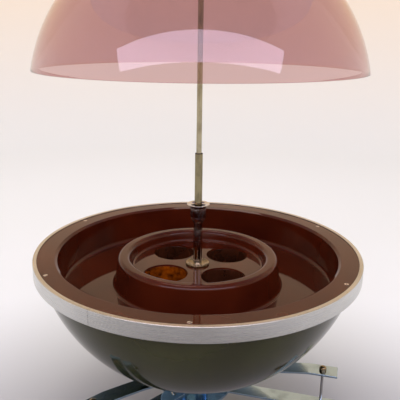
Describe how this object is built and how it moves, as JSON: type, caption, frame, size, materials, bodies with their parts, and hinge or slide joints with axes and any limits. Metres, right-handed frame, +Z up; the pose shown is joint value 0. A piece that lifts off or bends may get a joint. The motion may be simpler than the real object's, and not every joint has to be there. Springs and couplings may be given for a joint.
{
  "type": "globe drinks bar",
  "caption": "Half-globe drinks bar on a castored tripod: metal-banded bowl, moulded tray with bottle ring, and a clear dome lid on a telescopic mast.",
  "frame": {"origin": "on the floor, on the axis of the mast", "axes": "+Z up along the mast, +X to the right and -Y to the front as the bar is seen"},
  "size_m": [0.5999, 0.6, 0.9386],
  "materials": {
    "bowl_plastic": "glossy moulded plastic, dark olive",
    "band_aluminium": "brushed along its length",
    "tray_plastic": "glossy translucent moulded plastic, dark maroon brown",
    "well_plastic": "glossy translucent moulded plastic, amber brown",
    "screw_metal": "bright plated steel",
    "brass_parts": "polished brass, slightly dulled",
    "hub_steel": "chrome-plated steel plate",
    "leg_chrome": "polished chrome plate",
    "fork_steel": "zinc-plated pressed steel",
    "castor_nylon": "moulded black nylon",
    "castor_rubber": "smooth dark rubber tyre",
    "mast_chrome": "polished chrome tube, faintly warm",
    "glide_nylon": "moulded nylon",
    "dome_acrylic": "clear rose-tinted acrylic, polished both sides",
    "gasket_rubber": "soft rubber washer",
    "knob_metal": "polished turned metal"
  },
  "bodies": {
    "stand": {"bowl_shell": "bowl_plastic", "rim_band": "band_aluminium", "band_splice": "band_aluminium", "serving_tray": "tray_plastic", "bottle_well_1": "well_plastic", "bottle_well_2": "well_plastic", "bottle_well_3": "well_plastic", "bottle_well_4": "well_plastic", "rim_screws": "screw_metal", "rim_inserts": "brass_parts", "hub_plate_upper": "hub_steel", "hub_plate_lower": "hub_steel", "upper_leg_1": "leg_chrome", "lower_leg_1": "leg_chrome", "upper_leg_2": "leg_chrome", "lower_leg_2": "leg_chrome", "upper_leg_3": "leg_chrome", "lower_leg_3": "leg_chrome", "upper_leg_screws": "screw_metal", "lower_leg_screws": "screw_metal", "hub_bolts": "screw_metal", "hub_nuts": "screw_metal", "hub_spacers": "screw_metal", "castor_stem_1": "screw_metal", "castor_stem_2": "screw_metal", "castor_stem_3": "screw_metal", "cap_nuts": "brass_parts", "mast_foot": "fork_steel", "mast_tube": "mast_chrome", "mast_escutcheon": "brass_parts", "mast_collet": "glide_nylon"},
    "collar": {"locking_collar": "mast_chrome"},
    "middle_tube": {"middle_tube": "mast_chrome", "middle_glide": "glide_nylon", "rod_bush": "glide_nylon"},
    "rod_glide": {"rod_glide": "glide_nylon"},
    "lid": {"lid_rod": "mast_chrome", "lid_dome": "dome_acrylic", "crown_gasket": "gasket_rubber", "crown_washer_inner": "knob_metal", "crown_washer_outer": "knob_metal", "lid_knob": "knob_metal"},
    "castor_1": {"castor_fork_1": "fork_steel", "castor_axle_1": "screw_metal"},
    "wheel_1": {"castor_hub_1": "castor_nylon", "castor_tyre_1": "castor_rubber"},
    "castor_2": {"castor_fork_2": "fork_steel", "castor_axle_2": "screw_metal"},
    "wheel_2": {"castor_hub_2": "castor_nylon", "castor_tyre_2": "castor_rubber"},
    "castor_3": {"castor_fork_3": "fork_steel", "castor_axle_3": "screw_metal"},
    "wheel_3": {"castor_hub_3": "castor_nylon", "castor_tyre_3": "castor_rubber"}
  },
  "joints": [
    {"name": "collar_twist", "type": "hinge", "parent": "stand", "child": "collar", "pos_m": [0, 0, 0.396], "axis": [0, 0, 1], "range_deg": [0, 90]},
    {"name": "middle_tube_slide", "type": "slide", "parent": "stand", "child": "middle_tube", "axis": [0, 0, 1], "range_m": [-0.0855, 0]},
    {"name": "lid_slide", "type": "slide", "parent": "middle_tube", "child": "rod_glide", "axis": [0, 0, 1], "range_m": [-0.2425, 0]},
    {"name": "lid_swivel", "type": "hinge", "parent": "rod_glide", "child": "lid", "pos_m": [0, 0, 0.4775], "axis": [0, 0, 1], "continuous": true},
    {"name": "castor_swivel_1", "type": "hinge", "parent": "stand", "child": "castor_1", "pos_m": [0.23665, -0.06341, 0.056], "axis": [0, 0, 1], "continuous": true},
    {"name": "wheel_spin_1", "type": "hinge", "parent": "castor_1", "child": "wheel_1", "pos_m": [0.22578, -0.06848, 0.02], "axis": [-0.4226, 0.9063, 0], "continuous": true},
    {"name": "castor_swivel_2", "type": "hinge", "parent": "stand", "child": "castor_2", "pos_m": [-0.06341, 0.23665, 0.056], "axis": [0, 0, 1], "continuous": true},
    {"name": "wheel_spin_2", "type": "hinge", "parent": "castor_2", "child": "wheel_2", "pos_m": [-0.07429, 0.23158, 0.02], "axis": [-0.4226, 0.9063, 0], "continuous": true},
    {"name": "castor_swivel_3", "type": "hinge", "parent": "stand", "child": "castor_3", "pos_m": [-0.17324, -0.17324, 0.056], "axis": [0, 0, 1], "continuous": true},
    {"name": "wheel_spin_3", "type": "hinge", "parent": "castor_3", "child": "wheel_3", "pos_m": [-0.18412, -0.17831, 0.02], "axis": [-0.4226, 0.9063, 0], "continuous": true}
  ]
}
